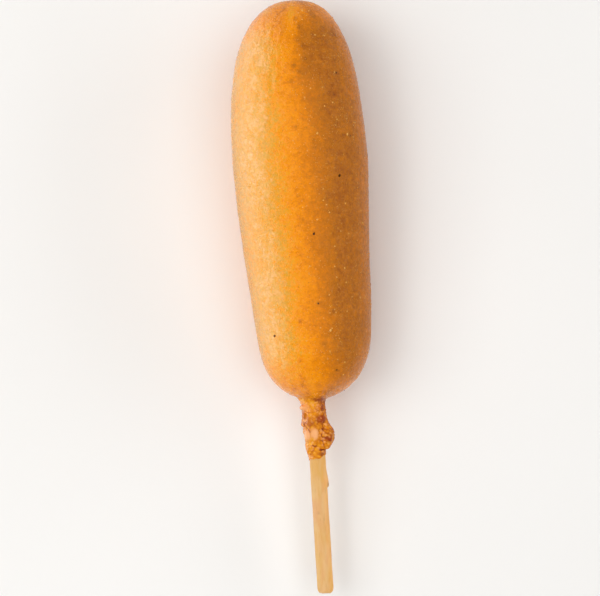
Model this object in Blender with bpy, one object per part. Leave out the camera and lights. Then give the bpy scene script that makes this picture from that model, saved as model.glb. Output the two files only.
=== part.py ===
"""Corn dog: a battered sausage on a round stick, lying on its side.

Metres, +Z up, long axis along Y with the rounded tip towards +Y and the stick
towards -Y. The origin is the middle of the underside of the bounding box, so the
crust rests on the plane z = 0.

The two pieces are drawn in the stick's own frame: s runs up the stick from its
free end, t is sideways and n is upwards. An empty holds that frame, tipped so that
the swollen crust lies along its underside, as it does when set down on a table.
"""

import math

import bmesh
import bpy
from mathutils import Matrix, Vector

MM = 0.001

# ---- stick: a 3/16 inch birch dowel, 5 1/2 inches long ----
STICK_R = 2.38 * MM
STICK_LENGTH = 140.0 * MM
STICK_END_ROUND = 1.25 * MM  # rounding of the free end
STICK_POINT_LENGTH = 7.0 * MM  # blunt point of the end inside the food
STICK_POINT_R = 1.3 * MM
STICK_SIDES = 32

# ---- crust: swollen body from BASE to TIP along the stick's axis ----
BASE = 57.0 * MM
TIP = 174.2 * MM
WIDE_R = 19.9 * MM  # radius at the widest place
WIDE_AT = 129.0 * MM
TAPER = 0.063  # loss of radius per length from there down to the stick
TAPER_SOFT = 6.0 * MM  # length over which the taper sets in
TIP_CAP = (65.0 * MM, 3.7, 2.39)  # length of the rounding and its two powers
BASE_CAP = (29.8 * MM, 4.3, 1.88)
# sideways bow of the body off the stick's line: (place, amount, spread)
BOWS = ((75 * MM, 1.2 * MM, 26 * MM), (118 * MM, 0.25 * MM, 14 * MM), (182 * MM, 1.1 * MM, 14 * MM))
UNEVEN = 0.05 * MM  # height of the body's slow waves

# ---- collar: batter that ran down the stick and fried on ----
LIP_LEFT, LIP_RIGHT = 39.3 * MM, 40.5 * MM  # its slanted lower edge
LIP_R = 3.05 * MM
NECK_LOW_R, NECK_HIGH_R = 3.30 * MM, 3.70 * MM
NECK_OFFSET = -0.35 * MM
FILLET = 0.55 * MM  # soft join where shapes meet
# fried lumps on the collar: (s, t, n) of the middle, then half sizes
LUMPS = (
    ((46.6, 2.9, 0.7), (3.5, 2.45, 2.7)),  # big brown knob
    ((44.3, 2.3, 0.9), (1.5, 2.0, 2.1)),  # its lower ledge
    ((48.9, 2.2, -0.9), (2.4, 1.9, 2.0)),
    ((54.5, -3.3, 1.0), (1.15, 1.25, 1.3)),  # blister
    ((51.3, 1.6, 2.7), (1.5, 1.3, 1.2)),  # glossy bump
    ((52.6, -1.5, 2.6), (1.4, 1.6, 1.2)),
    ((47.5, -2.2, -1.9), (2.2, 1.5, 1.6)),
    ((53.0, 1.8, -2.6), (1.7, 1.6, 1.4)),
    ((43.2, -1.9, 1.3), (1.6, 1.3, 1.4)),
)

GAP = 0.3 * MM  # clearance between the stick and the food round it
SIDES = 56
TILT = math.radians(3.5)  # nose-up tip that lays the swollen body along the table
TABLE = -11.55 * MM  # height of the table under the stick's free end


def cap(x, length, power, root):
    """1 along the body and 0 at the pole: x is the distance in from the pole."""
    u = min(1.0, max(0.0, 1.0 - x / length))
    return max(0.0, 1.0 - u**power) ** (1.0 / root)


def body_radius(s):
    below = max(0.0, WIDE_AT - s)
    width = WIDE_R - TAPER * (math.hypot(below, TAPER_SOFT) - TAPER_SOFT)
    return width * cap(TIP - s, *TIP_CAP) * cap(s - BASE, *BASE_CAP)


def bow(s):
    return sum(a * math.exp(-(((s - at) / wide) ** 2)) for at, a, wide in BOWS)


def smooth_step(x, low, high):
    u = min(1.0, max(0.0, (x - low) / (high - low)))
    return u * u * (3.0 - 2.0 * u)


def ring_centre(s):
    """The rings are drawn round the stick's line at the collar and round the bowed body above it."""
    return bow(s) * smooth_step(s, BASE - 1.0 * MM, BASE + 12.0 * MM)


def circle_reach(offset, radius, angle):
    """How far a ray at this angle goes from a point to a circle whose middle is offset sideways."""
    along, across = offset * math.cos(angle), offset * math.sin(angle)
    inside = radius * radius - across * across
    return along + math.sqrt(inside) if inside > 0.0 else 0.0


def lump_reach(lump, s, angle):
    """How far a ray from the stick's line, in the plane at s, goes to the far side of an ellipsoid."""
    (cs, ct, cn), (rs, rt, rn) = lump
    left = 1.0 - ((s / MM - cs) / rs) ** 2
    if left <= 0.0:
        return 0.0
    dt, dn = math.cos(angle) / rt, math.sin(angle) / rn
    a = dt * dt + dn * dn
    b = dt * ct / rt + dn * cn / rn
    c = (ct / rt) ** 2 + (cn / rn) ** 2 - left
    root = b * b - a * c
    return max(0.0, (b + math.sqrt(root)) / a) * MM if root > 0.0 else 0.0


def smooth_max(a, b, k):
    h = max(0.0, k - abs(a - b)) / k
    return max(a, b) + h * h * k * 0.25


def surface_radius(s, angle):
    """Reach of the crust from its ring's middle in this direction."""
    middle = ring_centre(s)
    body = circle_reach(bow(s) - middle, body_radius(s), angle)
    body += UNEVEN * math.sin(3.0 * angle + 90.0 * s) * math.sin(2.0 * angle - 140.0 * s + 1.0) * smooth_step(body, 6.0 * MM, 14.0 * MM)
    if s > BASE + 6.0 * MM:
        return body
    coat = NECK_LOW_R + (NECK_HIGH_R - NECK_LOW_R) * smooth_step(s, 44.0 * MM, 52.0 * MM)
    coat = LIP_R + (coat - LIP_R) * smooth_step(s, 39.8 * MM, 43.0 * MM)
    neck = circle_reach(NECK_OFFSET * smooth_step(s, 41.0 * MM, 47.0 * MM) - middle, coat, angle)
    for lump in LUMPS:
        neck = smooth_max(neck, lump_reach(lump, s, angle), FILLET)
    return smooth_max(neck, body, 1.6 * FILLET)


def ring_places():
    """Places along the axis for the rings, close together on the collar and the caps, wide apart on the body."""
    steps, low = 4000, 40.0 * MM
    places = [low + (TIP - low) * (1.0 - math.cos(math.pi * i / steps)) / 2.0 for i in range(steps + 1)]
    profile = [max(body_radius(s), NECK_LOW_R if s < BASE + 1.0 * MM else 0.0) for s in places]
    chosen, run = [low], 0.0
    for i in range(1, steps + 1):
        s = places[i]
        run += math.hypot(s - places[i - 1], profile[i] - profile[i - 1])
        if s < BASE:
            spacing = 0.95 * MM
        elif s < BASE + 14.0 * MM or s > TIP - 24.0 * MM:
            spacing = 2.2 * MM
        else:
            spacing = 4.0 * MM
        if run >= spacing and TIP - s > 0.02 * MM:
            chosen.append(s)
            run = 0.0
    return chosen


def lip_slant(s, angle):
    """Moves the lower edge of the collar along the stick: its left side hangs lower."""
    side = 0.5 - 0.5 * math.cos(angle)  # 0 at the right, 1 at the left
    edge = LIP_RIGHT + (LIP_LEFT - LIP_RIGHT) * side - 40.0 * MM
    return edge * (1.0 - smooth_step(s, 40.0 * MM, 44.5 * MM))


def table_height(s):
    """The table's height in the stick's tipped frame."""
    return (TABLE - s * math.sin(TILT)) / math.cos(TILT)


def stick_profile(extra=0.0):
    """(s, radius) pairs from the free end's middle to the inner end's middle."""
    points = [(0.0, 0.0)]
    r = STICK_R + extra
    for i in range(5):
        a = math.pi / 2.0 * i / 4.0
        points.append((STICK_END_ROUND * (1.0 - math.sin(a)) * 0.85, r - STICK_END_ROUND * (1.0 - math.cos(a))))
    points[1:] = sorted(points[1:])
    points.append((LIP_LEFT - 2.0 * MM, r))
    points.append((BASE + 10.0 * MM, r))
    points.append((STICK_LENGTH - STICK_POINT_LENGTH, r))
    points.append((STICK_LENGTH, STICK_POINT_R + extra))
    return points


def spun(name, profile, sides):
    """A closed solid turned about the stick's line, with the long axis along local Y."""
    bm = bmesh.new()
    rings = []
    for s, r in profile[1:]:
        rings.append([bm.verts.new((r * math.cos(2 * math.pi * k / sides), s, r * math.sin(2 * math.pi * k / sides))) for k in range(sides)])
    first = bm.verts.new((0.0, profile[0][0], 0.0))
    last = bm.verts.new((0.0, profile[-1][0], 0.0))
    join_rings(bm, rings, first, last)
    return made(name, bm)


def join_rings(bm, rings, first, last):
    sides = len(rings[0])
    for a, b in zip(rings, rings[1:]):
        for k in range(sides):
            bm.faces.new((a[k], b[k], b[(k + 1) % sides], a[(k + 1) % sides]))
    for k in range(sides):
        bm.faces.new((first, rings[0][k], rings[0][(k + 1) % sides]))
        bm.faces.new((last, rings[-1][(k + 1) % sides], rings[-1][k]))
    bmesh.ops.recalc_face_normals(bm, faces=bm.faces)


def made(name, bm):
    mesh = bpy.data.meshes.new(name)
    bm.to_mesh(mesh)
    bm.free()
    mesh.shade_smooth()
    mesh.set_sharp_from_angle(angle=math.radians(50))
    thing = bpy.data.objects.new(name, mesh)
    bpy.context.scene.collection.objects.link(thing)
    return thing


def crust():
    """The fried batter: socket wall, lip, collar, body and tip, as one closed skin of rings."""
    bm = bmesh.new()
    angles = [2.0 * math.pi * (k + 0.0) / SIDES - math.pi / 2.0 for k in range(SIDES)]
    rings = []
    # the socket that grips the stick, from its blind end out to the lip
    wall = STICK_R + GAP
    end = STICK_LENGTH + GAP
    for s, r in (
        (end, STICK_POINT_R + 0.75 * GAP),
        (STICK_LENGTH - STICK_POINT_LENGTH, wall),
        (BASE + 10.0 * MM, wall),
        (46.0 * MM, wall),
        (40.0 * MM, wall),
    ):
        ring = []
        for a in angles:
            shift = lip_slant(s, a) if s < 41.0 * MM else 0.0
            ring.append(bm.verts.new((r * math.cos(a), s + shift, r * math.sin(a))))
        rings.append(ring)
    blind = bm.verts.new((0.0, end, 0.0))
    for s in ring_places():
        middle = ring_centre(s)
        ring = []
        for a in angles:
            r = surface_radius(s, a)
            place = s + lip_slant(s, a)
            t, n = middle + r * math.cos(a), r * math.sin(a)
            ring.append(bm.verts.new((t, place, max(n, table_height(place)))))
        rings.append(ring)
    tip = bm.verts.new((ring_centre(TIP), TIP, 0.0))
    join_rings(bm, rings, blind, tip)
    return made("crust", bm)


def finish(thing, colour, roughness):
    material = bpy.data.materials.new(thing.name)
    material.use_nodes = True
    shader = material.node_tree.nodes["Principled BSDF"]
    shader.inputs["Base Color"].default_value = (*colour, 1.0)
    shader.inputs["Roughness"].default_value = roughness
    shader.inputs["Metallic"].default_value = 0.0
    thing.data.materials.append(material)


def main():
    for thing in list(bpy.data.objects):
        bpy.data.objects.remove(thing)
    batter = crust()
    stick = spun("stick", stick_profile(), STICK_SIDES)
    finish(batter, (0.62, 0.27, 0.055), 0.45)
    finish(stick, (0.78, 0.52, 0.24), 0.6)
    frame = bpy.data.objects.new("stick_line", None)
    bpy.context.scene.collection.objects.link(frame)
    tip_up = Matrix.Rotation(TILT, 4, "X")
    corners = [tip_up @ v.co for thing in (batter, stick) for v in thing.data.vertices]
    low = [min(c[i] for c in corners) for i in range(3)]
    high = [max(c[i] for c in corners) for i in range(3)]
    frame.rotation_euler = (TILT, 0.0, 0.0)
    frame.location = Vector((-(low[0] + high[0]) / 2.0, -(low[1] + high[1]) / 2.0, -low[2]))
    for thing in (batter, stick):
        thing.parent = frame


main()
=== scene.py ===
"""Looks of the corn dog: fried crust with real relief, birch stick, grit, specks and crumbs.

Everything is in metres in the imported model's frame. The shapes are drawn in the
stick's own frame, in millimetres: s up the stick from its free end, t sideways,
n upwards. STICK_LINE turns that frame into the model's.
"""
import math

import bpy
import numpy as np
from mathutils import Matrix, Vector


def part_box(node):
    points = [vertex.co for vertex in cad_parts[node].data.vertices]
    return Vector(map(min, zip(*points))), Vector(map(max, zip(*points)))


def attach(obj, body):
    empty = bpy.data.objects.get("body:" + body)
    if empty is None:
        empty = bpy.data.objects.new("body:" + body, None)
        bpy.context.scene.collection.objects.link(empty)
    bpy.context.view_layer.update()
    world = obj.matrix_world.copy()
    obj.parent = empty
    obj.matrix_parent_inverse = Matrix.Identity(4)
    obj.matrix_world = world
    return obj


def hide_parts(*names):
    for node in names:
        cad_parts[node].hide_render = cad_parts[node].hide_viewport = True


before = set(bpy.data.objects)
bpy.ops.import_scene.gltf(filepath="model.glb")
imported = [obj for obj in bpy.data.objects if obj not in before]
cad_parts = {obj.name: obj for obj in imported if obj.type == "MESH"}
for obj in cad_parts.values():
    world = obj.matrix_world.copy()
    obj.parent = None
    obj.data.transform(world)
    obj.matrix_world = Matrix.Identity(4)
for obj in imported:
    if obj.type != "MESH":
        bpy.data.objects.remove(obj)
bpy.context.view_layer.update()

MM = 0.001
TILT = math.radians(3.5)
TABLE = -11.55

# ------------------------------------------------------------------ the stick's line
STICK_R, STICK_LENGTH, STICK_END_ROUND = 2.38, 140.0, 1.25
STICK_POINT_LENGTH, STICK_POINT_R = 7.0, 1.3


def stick_line():
    """Matrix from the stick's frame in millimetres to the model's in metres, read off the CAD stick's box."""
    sides, rings = 32, [(0.0, 0.0)]
    for i in range(5):
        a = math.pi / 2.0 * i / 4.0
        rings.append((STICK_END_ROUND * (1.0 - math.sin(a)) * 0.85, STICK_R - STICK_END_ROUND * (1.0 - math.cos(a))))
    rings += [(STICK_LENGTH - STICK_POINT_LENGTH, STICK_R), (STICK_LENGTH, STICK_POINT_R)]
    turn = Matrix.Rotation(TILT, 4, "X")
    points = [
        turn @ Vector((r * math.cos(2 * math.pi * k / sides), s, r * math.sin(2 * math.pi * k / sides)))
        for s, r in rings
        for k in range(sides)
    ]
    low = Vector([min(p[i] for p in points) for i in range(3)])
    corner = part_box("stick")[0]
    return Matrix.Translation(corner - low * MM) @ turn @ Matrix.Scale(MM, 4)


STICK_LINE = stick_line()
TO_MODEL = np.array(STICK_LINE)


def to_model(p):
    return p @ TO_MODEL[:3, :3].T + TO_MODEL[:3, 3]


# ------------------------------------------------------------------ noise
def hashed(ix, iy, iz, seed):
    """A repeatable number in 0..1 for each lattice point."""
    h = (ix.astype(np.int64) * 374761393 + iy.astype(np.int64) * 668265263 + iz.astype(np.int64) * 2147483647 + seed * 974634777) & 0xFFFFFFFF
    h = ((h ^ (h >> 13)) * 1274126177) & 0xFFFFFFFF
    h = ((h ^ (h >> 16)) * 2246822519) & 0xFFFFFFFF
    return ((h ^ (h >> 15)) & 0xFFFFFF).astype(np.float64) / 16777216.0


def soft_noise(p, size, seed=0):
    """Smooth gradient noise of this grain size, about -1..1."""
    q = np.asarray(p, float) / size
    base = np.floor(q).astype(np.int64)
    f = q - base
    w = f * f * f * (f * (f * 6 - 15) + 10)
    total = np.zeros(len(q))
    for dx in (0, 1):
        for dy in (0, 1):
            for dz in (0, 1):
                ix, iy, iz = base[:, 0] + dx, base[:, 1] + dy, base[:, 2] + dz
                a = hashed(ix, iy, iz, seed) * 2 * math.pi
                z = hashed(ix, iy, iz, seed + 101) * 2 - 1
                r = np.sqrt(1 - z * z)
                g = r * np.cos(a) * (f[:, 0] - dx) + r * np.sin(a) * (f[:, 1] - dy) + z * (f[:, 2] - dz)
                share = (w[:, 0] if dx else 1 - w[:, 0]) * (w[:, 1] if dy else 1 - w[:, 1]) * (w[:, 2] if dz else 1 - w[:, 2])
                total += share * g
    return total * 1.6


def layered(p, size, octaves=3, seed=0, gain=0.5):
    total, amount, norm = 0.0, 1.0, 0.0
    for k in range(octaves):
        total = total + amount * soft_noise(p, size / 2**k, seed + 17 * k)
        norm += amount
        amount *= gain
    return total / norm


def grains(p, size, seed=0, jitter=0.9):
    """Distances to the nearest and second nearest scattered middles, in grain sizes, and the nearest one's own number."""
    q = np.asarray(p, float) / size
    base = np.floor(q).astype(np.int64)
    best = np.full(len(q), 9.0)
    second = np.full(len(q), 9.0)
    who = np.zeros(len(q))
    for dx in (-1, 0, 1):
        for dy in (-1, 0, 1):
            for dz in (-1, 0, 1):
                ix, iy, iz = base[:, 0] + dx, base[:, 1] + dy, base[:, 2] + dz
                c = np.stack([
                    ix + 0.5 + jitter * (hashed(ix, iy, iz, seed) - 0.5),
                    iy + 0.5 + jitter * (hashed(ix, iy, iz, seed + 7) - 0.5),
                    iz + 0.5 + jitter * (hashed(ix, iy, iz, seed + 13) - 0.5),
                ], 1)
                d = np.linalg.norm(q - c, axis=1)
                near = d < best
                second = np.where(near, best, np.minimum(second, d))
                best = np.where(near, d, best)
                who = np.where(near, hashed(ix, iy, iz, seed + 29), who)
    return best, second, who


def step(x, low, high):
    u = np.clip((np.asarray(x, float) - low) / (high - low), 0.0, 1.0)
    return u * u * (3.0 - 2.0 * u)


def bell(x, middle, spread):
    return np.exp(-(((x - middle) / spread) ** 2))


# ------------------------------------------------------------------ crust: the same body as the CAD's
BASE, TIP = 57.0, 174.2
WIDE_R, WIDE_AT, TAPER, TAPER_SOFT = 19.9, 129.0, 0.063, 6.0
TIP_CAP, BASE_CAP = (65.0, 3.7, 2.39), (29.8, 4.3, 1.88)
BOWS = ((75, 1.2, 26), (118, 0.25, 14), (182, 1.1, 14))


def cap(x, length, power, root):
    u = np.clip(1.0 - x / length, 0.0, 1.0)
    return np.maximum(0.0, 1.0 - u**power) ** (1.0 / root)


def body_radius(s):
    below = np.maximum(0.0, WIDE_AT - s)
    width = WIDE_R - TAPER * (np.hypot(below, TAPER_SOFT) - TAPER_SOFT)
    return width * cap(TIP - s, *TIP_CAP) * cap(s - BASE, *BASE_CAP)


def bow(s):
    return sum(a * np.exp(-(((s - at) / wide) ** 2)) for at, a, wide in BOWS)


def ring_centre(s):
    return bow(s) * step(s, BASE - 1.0, BASE + 12.0)


def circle_reach(offset, radius, angle):
    along, across = offset * np.cos(angle), offset * np.sin(angle)
    inside = radius * radius - across * across
    return np.where(inside > 0.0, along + np.sqrt(np.maximum(inside, 0.0)), 0.0)


def lump_reach(lump, s, angle):
    (cs, ct, cn), (rs, rt, rn) = lump
    left = 1.0 - ((s - cs) / rs) ** 2
    dt, dn = np.cos(angle) / rt, np.sin(angle) / rn
    a = dt * dt + dn * dn
    b = dt * ct / rt + dn * cn / rn
    c = (ct / rt) ** 2 + (cn / rn) ** 2 - left
    root = b * b - a * c
    good = (left > 0.0) & (root > 0.0)
    return np.where(good, np.maximum(0.0, (b + np.sqrt(np.maximum(root, 0.0))) / a), 0.0)


def smooth_max(a, b, k):
    h = np.maximum(0.0, k - np.abs(a - b)) / k
    return np.maximum(a, b) + h * h * k * 0.25


# ---- collar: half widths of the batter coat on its two sides, along the stick ----
COAT_AT = (39.0, 40.5, 41.2, 42.4, 45.0, 48.0, 50.0, 51.5, 53.5, 55.0, 56.5, 58.0)
COAT_LEFT = (2.52, 2.58, 2.72, 3.20, 3.35, 3.42, 4.00, 3.85, 3.72, 3.75, 4.05, 4.9)
COAT_RIGHT = (2.52, 2.56, 2.58, 2.62, 2.75, 3.00, 3.35, 3.45, 3.35, 3.20, 3.25, 4.2)
# the brown knob stands out of the right side: its reach from the stick's middle
KNOB_AT = (42.05, 42.20, 42.50, 43.50, 45.06, 46.50, 47.90, 48.90, 50.40, 51.50)
KNOB_REACH = (2.55, 3.65, 4.00, 4.55, 5.20, 5.45, 5.20, 4.50, 3.85, 3.40)
LUMPS = (  # middle (s, t, n), half sizes, softness of the join
    ((47.6, 3.0, 1.9), (1.20, 1.05, 1.1), 0.20),  # fronts of the knob
    ((45.3, 3.7, 1.6), (1.35, 1.15, 1.1), 0.20),
    ((44.0, 2.5, 2.1), (0.95, 0.95, 0.8), 0.20),
    ((46.4, 2.7, -1.6), (2.4, 1.9, 1.6), 0.4),
    ((54.95, -2.80, 1.75), (1.05, 1.55, 1.50), 0.45),  # pale blister
    ((51.4, 1.55, 2.55), (1.30, 1.25, 1.15), 0.20),  # dark glossy bump
    ((54.6, 1.5, 3.0), (0.95, 0.9, 0.7), 0.3),
    ((50.6, -1.6, 2.9), (1.0, 1.05, 0.7), 0.3),  # reddish patch
    ((53.0, -0.9, 3.1), (1.0, 1.1, 0.6), 0.3),
    ((52.6, -2.9, 1.9), (0.9, 0.9, 0.9), 0.25),
    ((49.9, -3.2, 1.2), (0.75, 0.95, 1.2), 0.25),  # point on the left edge
    ((46.7, -2.25, 1.75), (1.9, 1.25, 1.15), 0.8),  # smooth films of batter
    ((47.2, -0.3, 2.35), (1.8, 1.2, 0.75), 0.8),
    ((44.6, -0.9, 2.2), (1.3, 1.4, 0.9), 0.25),
    ((47.5, -2.2, -1.9), (2.2, 1.5, 1.6), 0.5),
    ((53.0, 1.8, -2.6), (1.7, 1.6, 1.4), 0.5),
    ((51.0, -1.2, -3.2), (1.5, 1.3, 0.9), 0.4),
    ((44.5, 0.6, -2.6), (1.5, 1.4, 0.8), 0.4),
    ((42.4, -1.9, 1.7), (1.3, 1.2, 0.9), 0.35),
    ((41.9, 0.9, 2.2), (1.0, 1.2, 0.6), 0.35),
)
LIP_LEFT, LIP_RIGHT = 39.3, 40.5


def surface_radius(s, angle):
    middle = ring_centre(s)
    body = circle_reach(bow(s) - middle, body_radius(s), angle)
    side = 0.5 + 0.5 * np.cos(angle)
    coat = np.interp(s, COAT_AT, COAT_LEFT) * (1 - side) + np.interp(s, COAT_AT, COAT_RIGHT) * side
    beside = np.abs(np.arctan2(np.sin(angle - 0.12), np.cos(angle - 0.12)))
    knob = np.interp(s, KNOB_AT, KNOB_REACH, left=0.0, right=0.0)
    coat = coat + np.maximum(0.0, knob - coat) * (1.0 - step(beside, 0.42, 1.02))
    neck = circle_reach(-middle, coat, angle)
    for middle_, sizes, soft in LUMPS:
        neck = smooth_max(neck, lump_reach((middle_, sizes), s, angle), soft)
    return np.where(s > BASE + 6.0, body, smooth_max(neck, body, 1.1))


def lip_slant(s, angle):
    side = 0.5 - 0.5 * np.cos(angle)
    wave = 0.22 * np.sin(3 * angle + 0.6) + 0.12 * np.sin(7 * angle + 2.0)
    edge = LIP_RIGHT + (LIP_LEFT - LIP_RIGHT) * side + wave - 40.0
    return edge * (1.0 - step(s, 40.0, 44.5))


def table_height(s):
    return (TABLE - s * math.sin(TILT)) / math.cos(TILT)


def skin_point(s, angle):
    """Points of the smooth crust, before its relief, in the stick's frame as (t, s, n)."""
    r = surface_radius(s, angle)
    place = s + lip_slant(s, angle)
    t, n = ring_centre(s) + r * np.cos(angle), r * np.sin(angle)
    floor = table_height(place)
    n = floor + smooth_max(n - floor, np.zeros_like(n), 0.25)
    return np.stack([t, place, n], 1)


# ------------------------------------------------------------------ ring mesh with halved ring counts
def ring_places():
    """(s, points in the ring) down the crust, spaced by the length of the profile."""
    steps, low = 20000, 40.0
    s = low + (TIP - low) * (1.0 - np.cos(np.pi * np.arange(steps + 1) / steps)) / 2.0
    profile = np.maximum(body_radius(s), np.where(s < BASE + 1.0, 3.4, 0.0))
    arc = np.concatenate([[0.0], np.cumsum(np.hypot(np.diff(s), np.diff(profile)))])
    spacing = np.where(s < BASE - 0.5, 0.15, np.where(s < BASE + 3.0, 0.28, 0.45))
    count = np.concatenate([[0.0], np.cumsum(np.diff(arc) / (0.5 * (spacing[1:] + spacing[:-1])))])
    wanted = np.arange(0, int(count[-1]) + 1)
    places = np.interp(wanted, count, s)
    places = places[places < TIP - 0.01]
    rings = []
    for place in places:
        around = 2 * math.pi * max(float(body_radius(place)), 3.4 if place < BASE + 1.0 else 0.0)
        if place < BASE + 2.5:
            sides = 144
        else:
            sides = 288 if around > 58 else 144 if around > 26 else 72 if around > 12 else 36 if around > 5 else 18
        rings.append((float(place), sides))
    # below the tip the counts only fall, and on the shoulder over the collar they only rise
    half = len(rings) // 2
    for i in range(len(rings) - 2, half, -1):
        rings[i] = (rings[i][0], max(rings[i][1], rings[i + 1][1]))
    for i in range(1, half):
        rings[i] = (rings[i][0], max(rings[i][1], rings[i - 1][1]))
    return rings


def crust_mesh():
    rings = ring_places()
    s_all, a_all, starts, counts = [], [], [], []
    total = 0
    for place, sides in rings:
        starts.append(total)
        counts.append(sides)
        total += sides
        s_all.append(np.full(sides, place))
        a_all.append(2 * math.pi * np.arange(sides) / sides - math.pi / 2)
    s_all, a_all = np.concatenate(s_all), np.concatenate(a_all)
    points = skin_point(s_all, a_all)
    faces = []
    for i in range(len(rings) - 1):
        a, b, n, m = starts[i], starts[i + 1], counts[i], counts[i + 1]
        if n == m:
            k = np.arange(n)
            kk = (k + 1) % n
            faces += np.stack([a + k, a + kk, b + kk, b + k], 1).tolist()
        elif m == 2 * n:
            for k in range(n):
                a0, a1 = a + k, a + (k + 1) % n
                b0, b1, b2 = b + 2 * k, b + 2 * k + 1, b + (2 * k + 2) % m
                faces += [[a0, a1, b1], [a0, b1, b0], [a1, b2, b1]]
        else:
            for k in range(m):
                b0, b1 = b + k, b + (k + 1) % m
                a0, a1, a2 = a + 2 * k, a + 2 * k + 1, a + (2 * k + 2) % n
                faces += [[a0, a1, b0], [a1, b1, b0], [a1, a2, b1]]
    # the tip
    tip = len(points)
    points = np.vstack([points, [[float(ring_centre(TIP)), TIP, 0.0]]])
    s_all, a_all = np.append(s_all, TIP), np.append(a_all, 0.0)
    a, n = starts[-1], counts[-1]
    faces += [[a + k, a + (k + 1) % n, tip] for k in range(n)]
    # the lip turns in under itself and meets the stick
    first = counts[0]
    for drop, radius in ((-0.07, 2.46), (0.02, 2.36), (0.5, 2.28)):
        start = len(points)
        ang = 2 * math.pi * np.arange(first) / first - math.pi / 2
        place = 40.0 + lip_slant(np.full(first, 40.0), ang) + drop
        points = np.vstack([points, np.stack([radius * np.cos(ang), place, radius * np.sin(ang)], 1)])
        s_all, a_all = np.append(s_all, np.full(first, 40.0)), np.append(a_all, ang)
        before = 0 if drop == -0.07 else start - first
        k = np.arange(first)
        kk = (k + 1) % first
        faces += np.stack([before + k, start + k, start + kk, before + kk], 1).tolist()
    inner_from = tip + 1
    return points, faces, s_all, a_all, inner_from


def new_mesh(name, points, faces, smooth=True):
    mesh = bpy.data.meshes.new(name)
    mesh.from_pydata(np.asarray(points).tolist(), [], [list(f) for f in faces])
    mesh.validate()
    mesh.update()
    if smooth:
        mesh.shade_smooth()
    thing = bpy.data.objects.new(name, mesh)
    bpy.context.scene.collection.objects.link(thing)
    return thing


def point_normals(points, faces):
    """Area-weighted normals of a mesh of triangles and quads."""
    normals = np.zeros_like(points)
    for size in (3, 4):
        f = np.array([q for q in faces if len(q) == size], int)
        if not len(f):
            continue
        if size == 3:
            cross = np.cross(points[f[:, 1]] - points[f[:, 0]], points[f[:, 2]] - points[f[:, 0]])
        else:
            cross = np.cross(points[f[:, 2]] - points[f[:, 0]], points[f[:, 3]] - points[f[:, 1]])
        for k in range(size):
            np.add.at(normals, f[:, k], cross)
    length = np.linalg.norm(normals, axis=1, keepdims=True)
    return normals / np.maximum(length, 1e-12)


def attribute(mesh, name, values):
    layer = mesh.attributes.new(name, "FLOAT", "POINT")
    layer.data.foreach_set("value", np.asarray(values, np.float32))


# ------------------------------------------------------------------ marks on the shown side
# (s, t) of the middle in mm, radius in mm, amount
SMUDGES = (  # small redder, darker places in the crust
    (155.6, 0.2, 0.65, 0.34), (137.2, -0.7, 0.55, 0.50), (169.1, 1.3, 0.80, 0.40), (153.5, 1.5, 0.70, 0.35), (166.7, 2.6, 0.90, 0.32),
    (161.3, 2.9, 0.80, 0.28), (157.2, 3.5, 0.80, 0.24), (163.2, 1.2, 0.80, 0.24), (150.7, -1.0, 0.60, 0.32), (80.2, -2.7, 0.90, 0.36),
    (68.5, -3.1, 0.60, 0.34), (164.0, 12.4, 0.75, 0.30), (169.9, 6.6, 0.90, 0.26), (165.5, 11.7, 0.60, 0.24), (143.7, 16.8, 0.50, 0.25),
    (134.1, 15.3, 0.50, 0.28), (134.2, 13.3, 0.50, 0.25), (152.5, 12.3, 0.40, 0.35), (146.4, 11.4, 0.45, 0.22), (160.9, 4.6, 0.60, 0.20),
    (73.3, 4.2, 0.70, 0.18), (58.4, -1.4, 0.80, 0.30), (60.7, -5.6, 0.70, 0.30), (59.2, 4.8, 0.70, 0.22), (106.6, 17.8, 0.5, 0.2),
    (85.2, 2.9, 0.5, 0.3), (82.9, 7.2, 0.5, 0.25), (65.2, 7.3, 0.45, 0.35), (62.0, -3.0, 0.9, 0.22), (61.2, 1.5, 1.0, 0.2),
)
OLIVES = (  # small dull, greener places
    (150.7, -15.4, 0.60, 0.9), (148.9, -14.9, 0.50, 0.8), (142.0, -12.4, 0.55, 0.7), (142.5, -15.9, 0.60, 0.7), (145.4, -9.9, 0.45, 0.6),
    (156.3, -6.6, 0.60, 0.6), (165.0, -4.5, 0.60, 0.5), (95.8, -12.6, 0.45, 0.7), (97.9, -7.2, 0.45, 0.5), (90.5, -7.1, 0.50, 0.5),
    (154.8, -11.3, 0.70, 0.6), (139.0, -14.5, 0.70, 0.6), (132.0, -10.5, 0.60, 0.5), (127.0, -13.4, 0.60, 0.5), (84.0, -9.0, 0.60, 0.5),
    (79.0, -7.5, 0.60, 0.5), (110.0, -11.0, 0.60, 0.4), (159.6, -8.4, 0.70, 0.5), (75.5, -6.3, 0.60, 0.4),
)
PALES = (  # paler places
    (150.0, -6.2, 3.0, 0.5), (141.5, -6.8, 2.6, 0.4), (133.0, -8.4, 3.4, 0.4), (119.0, -7.4, 3.2, 0.4), (99.3, -7.4, 0.8, 0.9),
    (104.0, -5.5, 3.6, 0.4), (88.0, -7.0, 3.6, 0.3), (75.0, -5.2, 3.4, 0.3), (161.0, -4.0, 3.0, 0.4), (112.0, -3.8, 3.0, 0.3),
    (137.0, 1.0, 5.0, 0.35), (120.0, -1.5, 5.0, 0.25), (92.0, -1.0, 5.0, 0.3), (74.0, -0.5, 4.0, 0.25),
)
FLECKS = (  # burnt specks: place, size
    (122.3, 11.4, 0.44), (76.6, -10.3, 0.40), (105.8, 3.0, 0.40), (85.2, 2.9, 0.24), (152.5, 12.3, 0.24), (65.2, 7.3, 0.24),
    (134.1, 15.3, 0.20),
)
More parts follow.
